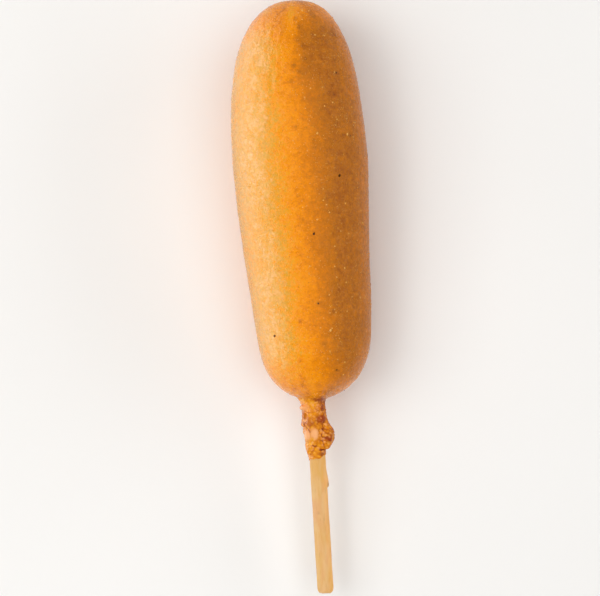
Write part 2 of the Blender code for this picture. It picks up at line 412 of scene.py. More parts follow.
BRIGHT = (  # the larger pale grains: place, size
    (77.0, 6.2, 0.42), (135.3, 5.7, 0.36), (134.2, 14.4, 0.38), (57.3, -3.2, 0.42), (171.3, 3.5, 0.32), (114.0, 12.6, 0.28),
    (90.8, 11.5, 0.30), (164.3, 6.9, 0.28), (111.9, 8.1, 0.26), (137.5, 17.0, 0.24), (110.1, 4.1, 0.26), (139.0, 11.8, 0.24),
    (148.6, 4.4, 0.24), (138.9, 14.7, 0.24), (158.5, 1.8, 0.24), (169.0, 3.3, 0.26), (67.7, 9.8, 0.26), (114.0, 7.0, 0.24),
    (133.5, 16.2, 0.24), (144.1, 10.9, 0.24), (63.9, 9.0, 0.26), (87.3, 6.3, 0.24), (96.0, 8.6, 0.26), (101.9, 8.9, 0.24),
    (148.7, 8.0, 0.24), (92.8, 9.0, 0.24), (143.1, 8.5, 0.24), (115.6, 6.2, 0.24), (164.7, 0.1, 0.22), (171.0, 2.4, 0.24),
)
GRANULES = (  # pale granules standing out of the collar, their paleness partly a painted highlight: (s, t), radius, amount
    (55.69, -0.48, 0.42, 1.0), (55.60, 1.01, 0.38, 0.9), (53.49, 1.85, 0.36, 0.8), (48.07, 1.52, 0.42, 1.0), (47.16, 2.05, 0.44, 1.0),
    # the granule at (51.74, 1.72) on the dark glossy bump is its painted glint
    (46.53, 2.75, 0.42, 0.9), (44.65, 2.20, 0.40, 0.9), (47.16, 4.41, 0.36, 0.9), (51.74, 1.72, 0.24, 0.9), (51.15, -3.14, 0.38, 0.9), (49.90, 2.81, 0.36, 0.8),
    (48.72, 2.89, 0.34, 0.7), (52.3, -0.4, 0.34, 0.6), (54.1, 0.1, 0.36, 0.7), (53.2, -2.2, 0.34, 0.6), (46.0, 3.9, 0.34, 0.6),
    (43.6, 1.6, 0.36, 0.6), (43.2, -1.2, 0.32, 0.6), (56.4, 0.4, 0.36, 0.7), (54.9, 0.6, 0.36, 0.7), (53.6, 0.9, 0.34, 0.7),
    (52.9, -1.3, 0.34, 0.6), (45.4, 1.9, 0.36, 0.7), (44.0, 3.6, 0.34, 0.6), (42.9, 0.2, 0.34, 0.5), (50.7, 0.3, 0.32, 0.5),
)


EYE_HEIGHT, SHARP_HEIGHT = 950.0, 18.0
EYE_S, EYE_T = 86.97 / math.cos(TILT), -2.27


def seen(points):
    """The (s, t) at which each point stands when looked at from straight above the middle: high places spread outwards."""
    place = to_model(points) / MM
    middle = to_model(np.array([[EYE_T, EYE_S, 0.0]]))[0] / MM
    grow = (EYE_HEIGHT - SHARP_HEIGHT) / (EYE_HEIGHT - place[:, 2])
    return EYE_S + (place[:, 1] - middle[1]) * grow / math.cos(TILT), EYE_T + (place[:, 0] - middle[0]) * grow


def marked(points, marks):
    """How strongly each point of the shown side lies in one of these uneven marks."""
    total = np.zeros(len(points))
    seen_s, seen_t = seen(points)
    bent_s = seen_s + 0.35 * soft_noise(points, 0.9, 401)
    bent_t = seen_t + 0.35 * soft_noise(points, 0.9, 402)
    for s, t, r, amount in marks:
        d2 = (bent_s - s) ** 2 + (bent_t - t) ** 2
        total += amount * np.exp(-d2 / (r * r)) * (points[:, 2] > -2)
    return total


def beads(points, marks):
    """Round-topped granules: 1 on top of each, 0 outside it."""
    bent_s = points[:, 1] + 0.20 * soft_noise(points, 0.7, 405)
    bent_t = points[:, 0] + 0.20 * soft_noise(points, 0.7, 406)
    top = np.zeros(len(points))
    for s, t, r, amount in marks:
        d2 = (bent_s - s) ** 2 + (bent_t - t) ** 2
        top = np.maximum(top, amount * np.sqrt(np.maximum(0.0, 1.0 - d2 / (1.2 * r * r))) * (points[:, 2] > -2))
    return top


def patch(points, s, t, high, wide, soft=0.35):
    """1 inside an uneven rounded block on the shown side, falling to 0 over its soft edge."""
    bent_s = points[:, 1] + 0.22 * soft_noise(points, 1.1, 403)
    bent_t = points[:, 0] + 0.22 * soft_noise(points, 1.1, 404)
    d = (np.abs((bent_s - s) / high) ** 2.3 + np.abs((bent_t - t) / wide) ** 2.3) ** (1 / 2.3)
    return (1.0 - step(d, 1.0 - soft, 1.0 + soft)) * (points[:, 2] > -0.5)


def streak(points, start, end, width):
    """1 along a wandering line on the shown side between two (s, t) places."""
    ax, ay = start[1], start[0]
    bx, by = end[1] - ax, end[0] - ay
    t = points[:, 0] + 0.45 * soft_noise(points, 1.3, 407) + 0.2 * soft_noise(points, 0.6, 409)
    s = points[:, 1] + 0.45 * soft_noise(points, 1.3, 408) + 0.2 * soft_noise(points, 0.6, 410)
    along = np.clip(((t - ax) * bx + (s - ay) * by) / (bx * bx + by * by), 0, 1)
    d = np.hypot(t - ax - along * bx, s - ay - along * by)
    return np.exp(-((d / (width * (0.8 + 0.5 * soft_noise(points, 1.0, 416)))) ** 2)) * (points[:, 2] > -0.5)


# how browned the crust looks across the shown side and across the underside: -1 left, 1 right; on the shown side this
# is real browning plus painted shade that darkens the right side and painted light that pales the left side
ACROSS = (-1.0, -0.6, -0.4, -0.2, 0.0, 0.18, 0.42, 0.52, 0.70, 0.86, 1.0)
BROWN_AND_SHADE_TOP = (0.10, 0.05, 0.17, 0.35, 0.49, 0.61, 0.78, 0.85, 0.82, 0.75, 0.66)
BROWN_UNDER = (0.10, 0.18, 0.28, 0.40, 0.52, 0.60, 0.68, 0.70, 0.72, 0.73, 0.72)


# ------------------------------------------------------------------ build the crust
def build_crust():
    points, faces, s_all, a_all, inner_from = crust_mesh()
    normals = point_normals(points, faces)
    body = step(s_all, BASE + 0.5, BASE + 5.0)  # 1 on the body, 0 on the collar
    lip = step(points[:, 1], 39.6, 42.5)
    outer = np.ones(len(points))
    outer[inner_from:] = 0.0
    t, s, n = points[:, 0], points[:, 1], points[:, 2]

    # relief of the body, in mm: slow swells, then the pebbling of fried batter, wrinkles near the tip
    swell = 0.15 * layered(points, 17.0, 2, 3) + 0.06 * soft_noise(points, 6.5, 5)
    pebble_d, _, _ = grains(points, 1.45, 11)
    pebble = np.maximum(0.0, 1.0 - (pebble_d / 0.62) ** 2)
    fine = soft_noise(points, 1.15, 23)
    coarse = soft_noise(points, 2.3, 31)
    blister_d, _, blister_id = grains(points, 5.2, 41)
    blister = np.where(blister_id > 0.70, np.maximum(0.0, 1.0 - (blister_d / (0.16 + 0.12 * blister_id)) ** 2) ** 1.5, 0.0)
    pit_d, _, pit_id = grains(points, 4.3, 47)
    pit = np.where(pit_id > 0.76, np.exp(-((pit_d / 0.09) ** 2)), 0.0)
    rough_patch = step(layered(points, 9.0, 2, 61), -0.35, 0.45)
    wrinkle = soft_noise((points + 0.5 * np.stack([soft_noise(points, 4.0, 65), 0 * s, 0 * s], 1)) * np.array([1.0, 0.24, 1.0]), 1.2, 67) * step(s, 138, 150) * (1.0 - step(s, 166, 171)) * step(t, -13.0, -8.0) * (1.0 - 0.6 * step(t, 0.0, 4.0))
    on_body = swell + 0.055 * coarse + (0.028 + 0.028 * rough_patch) * fine + 0.05 * pebble * (0.4 + 0.6 * rough_patch)
    on_body = on_body + 0.07 * blister - 0.08 * pit + 0.17 * wrinkle - 0.06 * marked(points, SMUDGES)

    # relief of the collar: torn batter, covered in granules of two sizes, with creases on its browner side
    right = step(t, -0.8, 1.6)
    bent = points + 0.40 * np.stack([soft_noise(points, 1.5, 411), soft_noise(points, 1.5, 412), soft_noise(points, 1.5, 413)], 1)
    lump_d, lump_2, lump_id = grains(bent, 1.15, 71)
    lump = np.maximum(0.0, 1.0 - (lump_d / 0.66) ** 2) * (0.35 + 0.65 * lump_id)
    crease = (1.0 - step(lump_2 - lump_d, 0.02, 0.20)) * step(soft_noise(points, 2.6, 415), -0.25, 0.25) * (0.25 + 0.75 * right)
    crumb_d, _, crumb_id = grains(bent, 0.62, 73)
    crumb = np.maximum(0.0, 1.0 - (crumb_d / 0.60) ** 2) * step(crumb_id, 0.3, 0.9)
    small_d, _, small_id = grains(points, 0.98, 77)
    small = np.sqrt(np.maximum(0.0, 1.0 - (small_d / 0.44) ** 2)) * step(small_id, 0.25, 0.65) * step(soft_noise(points, 3.0, 419) + 0.35 * right, -0.35, 0.15)
    bead = beads(points, GRANULES)
    window = np.clip(patch(points, 46.7, -2.55, 1.45, 1.10, 0.45) + patch(points, 47.15, -0.35, 1.55, 0.92, 0.45), 0, 1)
    bubble = patch(points, 54.95, -3.0, 0.95, 1.40, 0.5)
    gloss = patch(points, 51.45, 1.55, 1.15, 1.15)
    knob = (1.0 - step(np.abs(s - 46.6), 3.0, 4.4)) * step(t, 1.7, 2.8) * step(n, -2.8, -0.5)
    creases = (
        0.5 * streak(points, (50.0, -3.7), (48.75, -2.2), 0.30) + 0.8 * streak(points, (48.75, -2.2), (47.9, -1.25), 0.26)
        + 1.1 * streak(points, (45.9, 2.4), (45.4, 4.2), 0.42) + 0.8 * streak(points, (49.6, 1.9), (43.6, 1.75), 0.22)
        + 0.9 * streak(points, (42.3, 0.9), (42.1, 1.9), 0.36) + 0.6 * streak(points, (43.9, -1.2), (43.4, 0.3), 0.25)
        + 0.6 * streak(points, (57.7, -0.6), (57.4, 3.0), 0.55) + 0.4 * streak(points, (53.7, -4.0), (53.7, -1.6), 0.25)
    )
    still = np.clip(window + bubble + 0.6 * gloss, 0, 1)
    on_collar = 0.13 * coarse + 0.34 * (lump - 0.30) + 0.11 * crumb - 0.05 * crease
    small = small * (1.0 - 0.95 * still) * lip
    on_collar = on_collar * (1.0 - 0.85 * still) * (0.30 + 0.70 * lip) * (1.0 + 0.2 * knob) + 0.24 * bead + 0.18 * small - 0.22 * np.clip(creases, 0, 1.2)

    height = (body * on_body + (1.0 - body) * on_collar) * outer
    floor = table_height(points[:, 1])
    resting = 1.0 - step(points[:, 2] - floor, 0.05, 1.6)
    height = height * (1.0 - 0.9 * resting)
    moved = points + normals * height[:, None]
    moved[:, 2] = np.maximum(moved[:, 2], table_height(moved[:, 1]) + 0.004)

    # the collar never sinks into the stick
    on_neck = (s_all < BASE + 2.0) & (outer > 0)
    reach = np.hypot(moved[:, 0], moved[:, 2])
    least = 2.45
    push = np.where(on_neck & (reach < least), least / np.maximum(reach, 1e-6), 1.0)
    moved[:, 0] *= push
    moved[:, 2] *= push

    crust = new_mesh("crust_skin", to_model(moved), faces)
    mesh = crust.data

    radius = np.maximum(body_radius(s_all), 3.0)
    across = (t - ring_centre(s_all)) / radius
    up = n / radius

    # darker towards the right: partly real browning, partly painted shade of the light falling from the left
    streaky = points * np.array([1.0, 0.45, 1.0])
    bent = across + 0.035 * soft_noise(streaky, 7.5, 79) + 0.045 * soft_noise(streaky, 3.2, 80) * step(across, -0.35, 0.1)
    bent = bent + 0.04 * bell(s, 158.0, 9.0) * step(across, -0.1, 0.2) - 0.08 * bell(s, 66.0, 7.0)
    top = np.interp(bent, ACROSS, BROWN_AND_SHADE_TOP)
    low = np.interp(bent, ACROSS, BROWN_UNDER) + 0.10 * layered(points, 11.0, 2, 85)
    brown_and_shade = low + (top - low) * step(up, -0.35, 0.10)
    brown_and_shade += 0.06 * layered(points, 6.0, 2, 83) * step(across, -0.6, 0.2) + 0.045 * soft_noise(points, 1.9, 87)
    brown_and_shade += 0.74 * marked(points, SMUDGES) - 0.16 * marked(points, PALES) - 0.06 * blister * body - 0.09 * (pebble - 0.3) * rough_patch * step(across, -0.5, 0.2)
    # the line where two tones meet near the tip
    ridge = 0.9 + 1.2 * np.sin((s - 150.0) / 5.5)
    brown_and_shade += 0.08 * step(t - ridge, -0.5, 1.2) * (1.0 - step(t - ridge, 2.0, 7.0)) * step(s, 148.0, 154.0) * (n > 0)
    # towards both ends the left half is darker and the right half lighter, and the right a little lighter near the base
    # end
    brown_and_shade += (0.30 * step(s, 158.0, 171.0) + 0.28 * (1 - step(s, 60.0, 76.0))) * (1.0 - step(across, -0.45, 0.0))
    brown_and_shade -= (0.26 * step(s, 161.0, 172.0) + 0.16 * (1 - step(s, 59.0, 68.0))) * step(across, -0.3, 0.0)
    brown_and_shade -= 0.07 * (1 - step(s, 64.0, 78.0)) * step(across, 0.2, 0.6)

    collar = 1.0 - step(s_all, BASE - 0.5, BASE + 3.0)
    # the collar's tone: darker in the gaps between lumps and along the creases, painted shade; lighter on the crumbs
    # and granules, partly painted highlight
    own = 0.36 + 0.18 * layered(points, 2.4, 2, 91) + 0.08 * right - 0.01 * knob - 0.06 * patch(points, 56.8, 0.0, 1.2, 1.6, 0.6)
    own += (0.36 * (0.35 - lump) - 0.18 * crumb + 0.08 * crease) * (1.0 - 0.9 * still) - 0.30 * bead - 0.24 * small + 0.10
    own += 0.66 * np.clip(creases, 0, 1) + 0.30 * gloss + 0.10 * patch(points, 50.6, -1.6, 1.0, 1.1)
    own += 0.25 * patch(points, 54.8, 2.35, 0.8, 0.7) + 0.25 * patch(points, 56.1, 2.6, 0.8, 0.7) + 0.22 * patch(points, 41.1, 0.9, 0.6, 1.0)
    own += 0.16 * patch(points, 51.7, -3.1, 1.7, 0.9, 0.6)
    own -= 0.14 * patch(points, 44.9, -1.5, 1.0, 1.3) + 0.06 * patch(points, 43.2, -3.0, 2.0, 0.7) + 0.14 * patch(points, 56.9, -3.2, 0.9, 0.9)
    foot = (1.0 - step(s, 58.5, 63.5)) * (1 - collar)
    brown_and_shade += foot * (0.06 * right + 0.16 * layered(points, 1.8, 2, 93))
    brown_and_shade = brown_and_shade * (1 - collar) + own * collar

    # pale: the thin windows and the blister in their own colour; the granules' pale tops partly a painted highlight
    pale = np.maximum(window * (1.0 - 0.55 * streak(points, (48.6, -1.35), (45.3, -1.45), 0.22)), 0.70 * bubble)
    pale = np.maximum(np.maximum(pale, 0.55 * bead + 0.55 * small * (0.3 + 0.7 * small_id)), 0.3 * patch(points, 51.2, -3.1, 0.4, 0.4)) * collar
    # red: real redder patches and the knob, and the creases redder as painted shade
    red = 0.80 * patch(points, 51.35, 1.65, 1.25, 1.3, 0.6) + 0.50 * patch(points, 50.6, -1.6, 1.1, 1.2, 0.7) + 0.6 * patch(points, 45.6, 3.4, 0.7, 1.0, 0.6)
    red = red + 0.45 * patch(points, 54.8, 2.35, 0.9, 0.8, 0.7) + 0.25 * crease * right * (1 - still) + 0.35 * np.clip(creases, 0, 1)
    red = (red + 0.50 * knob * step(layered(points, 1.6, 2, 95), -0.1, 0.5) + 0.5 * patch(points, 57.6, 1.5, 0.9, 1.8) + 0.3 * patch(points, 51.3, 2.2, 1.3, 0.8)) * (1.0 - 0.8 * np.clip(bead, 0, 1))
    olive = np.clip(0.06 * step(-across, 0.45, 0.95) * step(up, -0.2, 0.3) + marked(points, OLIVES), 0, 1) * body
    veil = 0.55 + 0.42 * soft_noise(points, 10.0, 511) + 0.42 * soft_noise(points, 4.6, 512) + 0.45 * soft_noise(points, 2.2, 513) + 0.35 * soft_noise(points, 1.3, 514)
    # the 'light' mask: a pale band along the left side, a painted sheen standing in for the reflection of the bright
    # studio on the left
    edge = across - np.interp(s, (60.0, 74.3, 86.4, 100.8, 115.0, 129.6, 144.0, 158.4), (-0.56, -0.52, -0.48, -0.45, -0.47, -0.54, -0.47, -0.45))
    edge = edge + 0.07 * soft_noise(streaky, 5.0, 501) + 0.09 * soft_noise(points, 1.7, 502) + 0.08 * soft_noise(points, 0.9, 503)
    light = (1.0 - step(edge, -0.06, 0.05)) * step(up, -0.75, -0.2) * body * (1.0 - step(s, 158.0, 169.0)) * step(s, 60.0, 76.0)
    light = np.maximum(light, 0.14 * (1.0 - step(edge, 0.08, 0.28)) * step(up, 0.0, 0.3) * body * step(veil, 0.62, 1.0))
    light = light * (1.0 - 0.9 * np.clip(marked(points, OLIVES), 0, 1)) * (0.72 + 0.28 * step(s, 112.0, 128.0))
    side = (1.0 - step(up, -0.20, 0.25)) * (1.0 - step(across, -0.5, -0.1)) * body
    light = light * (1.0 - 0.75 * side) * (1.0 - 0.40 * step(-across, 0.70, 0.92))
    brown_and_shade = brown_and_shade + side * (0.13 + 0.16 * layered(points, 14.0, 3, 97) + 0.06 * soft_noise(points, 2.6, 99))
    paler = (1.0 - step(across, -0.30, 0.10)) * body
    brown_and_shade = brown_and_shade - 0.11 * (veil - 0.55) * paler
    attribute(mesh, "paler", paler)
    attribute(mesh, "calm", step(-across, 0.66, 0.93) * step(up, -0.5, 0.0) * body)
    gritty = 0.35 * bell(across, -0.42, 0.20) * step(up, 0.2, 0.5) + 0.7 * step(s, 150.0, 164.0) + 0.15 * (1.0 - step(s, 62.0, 80.0))
    attribute(mesh, "gritty", np.clip(gritty, 0, 1) * body)
    attribute(mesh, "light", light)
    attribute(mesh, "veil", np.clip(veil, 0.0, 1.0))
    attribute(mesh, "neck", collar)
    attribute(mesh, "brown_and_shade", np.clip(brown_and_shade, 0.0, 1.4))
    attribute(mesh, "pale", np.clip(pale, 0.0, 1.0))
    attribute(mesh, "red", np.clip(red * collar, 0.0, 1.0))
    attribute(mesh, "olive", olive)
    attribute(mesh, "dull", np.clip(marked(points, OLIVES) * body + step(across, -0.15, 0.5) * 0.35 * body, 0, 1))
    attribute(mesh, "wet", np.clip(gloss + 0.6 * window + 0.6 * bubble + 0.35 * knob + 0.6 * bead + 0.5 * small, 0, 1) * collar)
    return crust, moved, normals, faces, np.clip(brown_and_shade, 0.0, 1.4), across


# ------------------------------------------------------------------ materials
class Nodes:
    """A small helper to write node trees as expressions."""

    def __init__(self, name):
        self.material = bpy.data.materials.new(name)
        self.material.use_nodes = True
        self.tree = self.material.node_tree
        self.shader = self.tree.nodes["Principled BSDF"]

    def node(self, kind, **settings):
        made = self.tree.nodes.new(kind)
        for key, value in settings.items():
            setattr(made, key, value)
        return made

    def link(self, a, b):
        self.tree.links.new(a, b)

    def feed(self, socket, value):
        if hasattr(value, "is_output") or isinstance(value, bpy.types.NodeSocket):
            self.link(value, socket)
        elif isinstance(value, (tuple, list)) and len(value) == 3 and socket.type == "RGBA":
            socket.default_value = (*value, 1.0)
        else:
            socket.default_value = value

    def coords(self):
        if not hasattr(self, "_coords"):
            self._coords = self.node("ShaderNodeTexCoord").outputs["Object"]
        return self._coords

    def noise(self, size_mm, detail=2.0, rough=0.5, distort=0.0, offset=(0, 0, 0), stretch=(1, 1, 1)):
        mapping = self.node("ShaderNodeMapping")
        self.link(self.coords(), mapping.inputs["Vector"])
        mapping.inputs["Location"].default_value = offset
        mapping.inputs["Scale"].default_value = stretch
        tex = self.node("ShaderNodeTexNoise")
        tex.inputs["Scale"].default_value = 1.0 / (size_mm * MM)
        tex.inputs["Detail"].default_value = detail
        tex.inputs["Roughness"].default_value = rough
        tex.inputs["Distortion"].default_value = distort
        self.link(mapping.outputs["Vector"], tex.inputs["Vector"])
        return tex.outputs["Fac"]

    def cells(self, size_mm, feature="F1", jitter=1.0, output="Distance", offset=(0, 0, 0)):
        mapping = self.node("ShaderNodeMapping")
        self.link(self.coords(), mapping.inputs["Vector"])
        mapping.inputs["Location"].default_value = offset
        tex = self.node("ShaderNodeTexVoronoi")
        tex.feature = feature
        tex.inputs["Scale"].default_value = 1.0 / (size_mm * MM)
        tex.inputs["Randomness"].default_value = jitter
        self.link(mapping.outputs["Vector"], tex.inputs["Vector"])
        return tex.outputs[output]

    def math(self, op, a, b=None, c=None, clamp=False):
        made = self.node("ShaderNodeMath", operation=op, use_clamp=clamp)
        for i, v in enumerate((a, b, c)):
            if v is not None:
                self.feed(made.inputs[i], v)
        return made.outputs[0]

    def span(self, value, from_low, from_high, to_low=0.0, to_high=1.0, smooth=False):
        made = self.node("ShaderNodeMapRange")
        made.interpolation_type = "SMOOTHSTEP" if smooth else "LINEAR"
        made.clamp = True
        self.feed(made.inputs["Value"], value)
        for key, v in (("From Min", from_low), ("From Max", from_high), ("To Min", to_low), ("To Max", to_high)):
            made.inputs[key].default_value = v
        return made.outputs["Result"]

    def ramp(self, value, stops, interpolation="LINEAR"):
        made = self.node("ShaderNodeValToRGB")
        made.color_ramp.interpolation = interpolation
        elements = made.color_ramp.elements
        while len(elements) < len(stops):
            elements.new(0.5)
        for element, (at, colour) in zip(elements, stops):
            element.position = at
            element.color = (*colour, 1.0)
        self.feed(made.inputs["Fac"], value)
        return made.outputs["Color"]

    def mix(self, share, a, b, blend="MIX"):
        made = self.node("ShaderNodeMix", data_type="RGBA", blend_type=blend)
        self.feed(made.inputs["Factor"], share)
        self.feed(made.inputs[6], a)
        self.feed(made.inputs[7], b)
        return made.outputs[2]

    def attribute(self, name):
        made = self.node("ShaderNodeAttribute", attribute_name=name)
        return made.outputs["Fac"]

    def bump(self, height, distance_mm, strength=1.0, normal=None):
        made = self.node("ShaderNodeBump")
        made.inputs["Strength"].default_value = strength
        made.inputs["Distance"].default_value = distance_mm * MM
        self.link(height, made.inputs["Height"])
        if normal is not None:
            self.link(normal, made.inputs["Normal"])
        return made.outputs["Normal"]


# crust colours by tone: the pale tones of the left side carry painted light and the darker tones of the right side
# painted shade, as well as real browning
TONES = (
    (0.00, (0.715, 0.354, 0.034)),
    (0.08, (0.800, 0.348, 0.022)),
    (0.16, (0.895, 0.336, 0.008)),
    (0.27, (0.93, 0.296, 0.002)),
    (0.38, (0.785, 0.230, 0.002)),
    (0.47, (0.625, 0.180, 0.005)),
    (0.60, (0.46, 0.139, 0.009)),
    (0.68, (0.375, 0.104, 0.010)),
    (0.82, (0.225, 0.052, 0.008)),
    (1.00, (0.09, 0.018, 0.005)),
)


COLLAR_TONES = (
    (0.00, (0.88, 0.430, 0.040)),
    (0.25, (0.86, 0.345, 0.014)),
    (0.45, (0.74, 0.238, 0.008)),
    (0.62, (0.52, 0.140, 0.010)),
    (0.80, (0.30, 0.066, 0.009)),
    (1.00, (0.11, 0.020, 0.004)),
)


def crust_material():
    m = Nodes("crust_fried")
    brown_and_shade = m.attribute("brown_and_shade")
    small = m.noise(1.3, 2.0, 0.55, 0.2, (0.3, 0.1, 0.7))
    tiny = m.noise(0.5, 1.0, 0.5, 0.0, (0.5, 0.9, 0.2))
    uneven = m.math("ADD", m.span(small, 0.3, 0.7, -0.062, 0.062), m.span(tiny, 0.3, 0.7, -0.048, 0.048))
    tone = m.math("ADD", brown_and_shade, m.math("MULTIPLY", uneven, m.span(m.attribute("paler"), 0.0, 1.0, 1.0, 1.8)))
    colour = m.ramp(m.math("MULTIPLY", tone, 0.75), TONES)
    colour = m.mix(m.attribute("neck"), colour, m.ramp(m.math("MULTIPLY", tone, 0.85), COLLAR_TONES))
    # a thin veil of paler colour, and most of all on the paler left side a painted sheen (the 'light' mask), broken
    # into grains: it stands in for the reflection of the bright studio on the left
    grainy = m.span(m.math("ADD", small, tiny), 0.75, 1.25, 1.0, 0.0)
    veil = m.math("MULTIPLY", m.math("ADD", m.attribute("veil"), grainy), 0.5)
    colour = m.mix(m.math("MULTIPLY", veil, m.math("SUBTRACT", 1.0, m.attribute("neck")), clamp=True), colour, m.mix(0.055, colour, (0.95, 0.42, 0.045)))
    broken = m.span(m.noise(1.25, 3.0, 0.65, 0.4, (0.2, 0.5, 0.6)), 0.45, 0.59, 1.0, 0.12, True)
    painted_sheen = m.math("MULTIPLY", m.math("MULTIPLY", m.attribute("light"), broken), m.math("ADD", m.span(m.attribute("veil"), 0.0, 1.0, -0.15, 1.30), m.span(grainy, 0.0, 1.0, -0.65, 0.65), clamp=True))
    colour = m.mix(painted_sheen, colour, m.mix(m.attribute("calm"), (0.94, 0.482, 0.160), (0.82, 0.448, 0.145)))
    # dull olive spots and threads in the pale side, where the painted sheen breaks up
    thread = m.span(m.noise(1.4, 4.0, 0.62, 0.8, (0.9, 0.4, 0.1)), 0.56, 0.64, 0.0, 1.0, True)
    colour = m.mix(m.math("MULTIPLY", m.math("MULTIPLY", m.attribute("light"), thread), 0.36), colour, (0.88, 0.400, 0.018))
    # the finest grains catch the light as pale ticks
    tick = m.span(m.noise(0.42, 2.0, 0.5, 0.3, (0.1, 0.8, 0.3)), 0.60, 0.74, 0.0, 1.0, True)
    colour = m.mix(m.math("MULTIPLY", tick, m.span(m.attribute("gritty"), 0.0, 1.0, 0.18, 0.32)), colour, (0.99, 0.50, 0.050))
    # painted shade: small spots darker, as in the hollows between the grains
    painted_hollow_shade = m.span(m.noise(0.75, 3.0, 0.6, 0.3, (0.6, 0.3, 0.9)), 0.52, 0.62, 0.0, 1.0, True)
    painted_hollow_shade = m.math("MULTIPLY", painted_hollow_shade, m.span(m.attribute("neck"), 0.0, 1.0, 0.70, 0.0))
    painted_hollow_shade = m.math("MULTIPLY", painted_hollow_shade, m.span(m.attribute("paler"), 0.0, 1.0, 0.40, 1.0))
    colour = m.mix(painted_hollow_shade, colour, m.mix(1.0, colour, (0.92, 0.835, 0.66), "MULTIPLY"))
    # grains of meal in the batter: some pale, some dark
    grain = m.cells(1.1, "F1")
    own = m.node("ShaderNodeSeparateColor")
    m.link(m.cells(1.1, "F1", output="Color"), own.inputs["Color"])
    dot = m.math("MULTIPLY", m.span(grain, 0.10, 0.28, 1.0, 0.0, True), m.span(own.outputs["Red"], 0.45, 0.9, 0.0, 1.0))
    colour = m.mix(m.math("MULTIPLY", dot, 0.30), colour, (0.98, 0.50, 0.060))
    dark_dot = m.math("MULTIPLY", m.span(grain, 0.08, 0.24, 1.0, 0.0, True), m.span(own.outputs["Green"], 0.70, 0.95, 0.0, 1.0))
    colour = m.mix(m.math("MULTIPLY", dark_dot, 0.45), colour, (0.34, 0.09, 0.004))
    spotty = m.math("MULTIPLY", m.attribute("olive"), m.span(m.noise(1.5, 3.0, 0.6, 0.5, (0.7, 0.7, 0.1)), 0.45, 0.62, 0.25, 1.0, True))
    colour = m.mix(spotty, colour, m.mix(1.0, colour, (0.93, 0.93, 0.70), "MULTIPLY"))
    colour = m.mix(m.attribute("red"), colour, m.mix(m.span(small, 0.35, 0.65, 0.0, 1.0), (0.40, 0.070, 0.012), (0.30, 0.050, 0.010)))
    window = m.mix(m.span(m.noise(1.6, 2.0), 0.35, 0.65, 0.0, 1.0), (0.96, 0.49, 0.23), (0.93, 0.44, 0.19))
    colour = m.mix(m.math("MULTIPLY", m.attribute("pale"), 0.92), colour, window)
    m.link(colour, m.shader.inputs["Base Color"])

    patchy = m.noise(2.6, 2.0, 0.5, 0.0, (0.8, 0.2, 0.4))
    rough = m.math("ADD", m.span(patchy, 0.3, 0.7, 0.13, 0.20), m.math("MULTIPLY", m.attribute("dull"), 0.28))
    rough = m.math("ADD", rough, m.math("MULTIPLY", m.span(broken, 0.12, 1.0, 0.16, 0.0), m.attribute("paler")))
    rough = m.math("SUBTRACT", rough, m.math("MULTIPLY", m.attribute("wet"), 0.22), clamp=True)
    m.link(rough, m.shader.inputs["Roughness"])
    m.shader.inputs["Specular IOR Level"].default_value = 0.5
    m.shader.inputs["IOR"].default_value = 1.45

    height = m.math("ADD", m.math("MULTIPLY", m.noise(0.95, 2.0, 0.6), 0.6), m.math("MULTIPLY", m.noise(0.42, 1.0, 0.5), 0.4))
    height = m.math("ADD", height, m.math("MULTIPLY", dot, 0.22))
    height = m.math("MULTIPLY", height, m.span(m.attribute("pale"), 0.0, 1.0, 1.0, 0.15))
    height = m.math("MULTIPLY", height, m.span(m.attribute("calm"), 0.0, 1.0, 1.0, 0.40))
    height = m.math("MULTIPLY", height, m.span(m.attribute("gritty"), 0.0, 1.0, 1.0, 1.9))
    m.link(m.bump(height, 0.30, 1.0), m.shader.inputs["Normal"])
    return m.material


